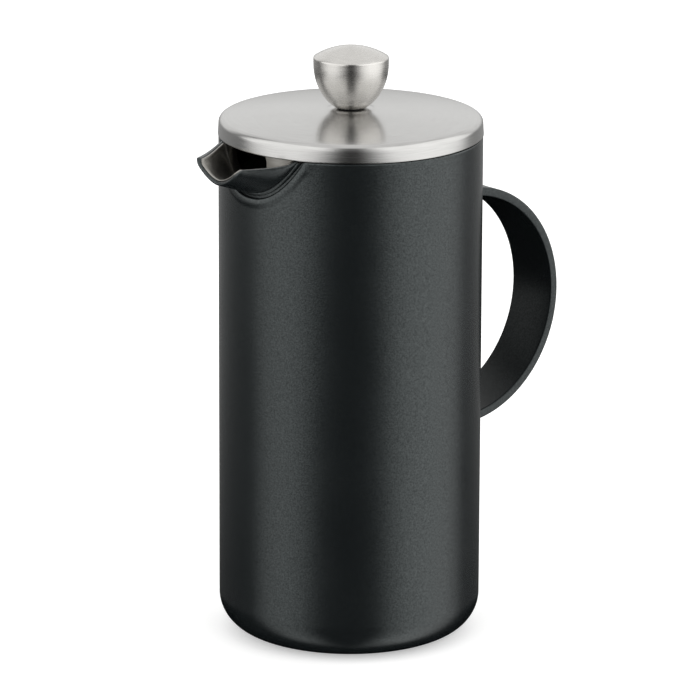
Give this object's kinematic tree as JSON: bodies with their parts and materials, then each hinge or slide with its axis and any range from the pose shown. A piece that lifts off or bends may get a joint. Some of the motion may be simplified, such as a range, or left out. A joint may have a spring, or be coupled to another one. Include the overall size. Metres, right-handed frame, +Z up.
{
  "type": "french press",
  "caption": "Double-walled steel french press: coated pot with an open spout and a half-ring strap handle, brushed lid, and a knobbed plunger with a sprung mesh filter.",
  "frame": {"origin": "centre of the base, on the surface that the pot stands on", "axes": "+Z up along the plunger, +X towards the handle, -X towards the spout"},
  "size_m": [0.1685, 0.1044, 0.2369],
  "materials": {
    "powder_coat": "satin black powder coat with a very fine grain",
    "base_coat": "satin black powder coat, worn on the ring that it stands on",
    "liner_steel": "spun satin inside",
    "spout_steel": "brushed along the channel",
    "lid_steel": "brushed in circles",
    "knob_steel": "turned satin",
    "rod_steel": "polished",
    "filter_steel": "pressed, bright",
    "mesh_steel": "woven wire",
    "bush_plastic": "moulded black nylon"
  },
  "bodies": {
    "pot": {"outer_shell": "powder_coat", "base_cap": "base_coat", "vent_plug": "bush_plastic", "inner_liner": "liner_steel", "spout_shell": "powder_coat", "spout_liner": "spout_steel", "handle": "powder_coat"},
    "bush": {"rod_bush": "bush_plastic", "bush_retainer": "bush_plastic"},
    "lid": {"lid_cap": "lid_steel", "lid_collar": "liner_steel"},
    "filter": {"hub_nut": "filter_steel", "spring_plate": "filter_steel", "edge_coil": "rod_steel", "filter_mesh": "mesh_steel", "mesh_eyelet": "filter_steel", "cross_plate": "filter_steel"},
    "plunger": {"knob": "knob_steel", "rod": "rod_steel", "rod_nut": "filter_steel"}
  },
  "joints": [
    {"name": "lid_lift", "type": "slide", "parent": "pot", "child": "bush", "axis": [0, 0, 1], "range_m": [0, 0.185]},
    {"name": "lid_turn", "type": "hinge", "parent": "bush", "child": "lid", "pos_m": [0, 0, 0.2], "axis": [0, 0, 1], "continuous": true},
    {"name": "plunger_slide", "type": "slide", "parent": "bush", "child": "filter", "axis": [0, 0, 1], "range_m": [0, 0.15]},
    {"name": "knob_turn", "type": "hinge", "parent": "filter", "child": "plunger", "pos_m": [0, 0, 0.1], "axis": [0, 0, 1], "continuous": true}
  ]
}
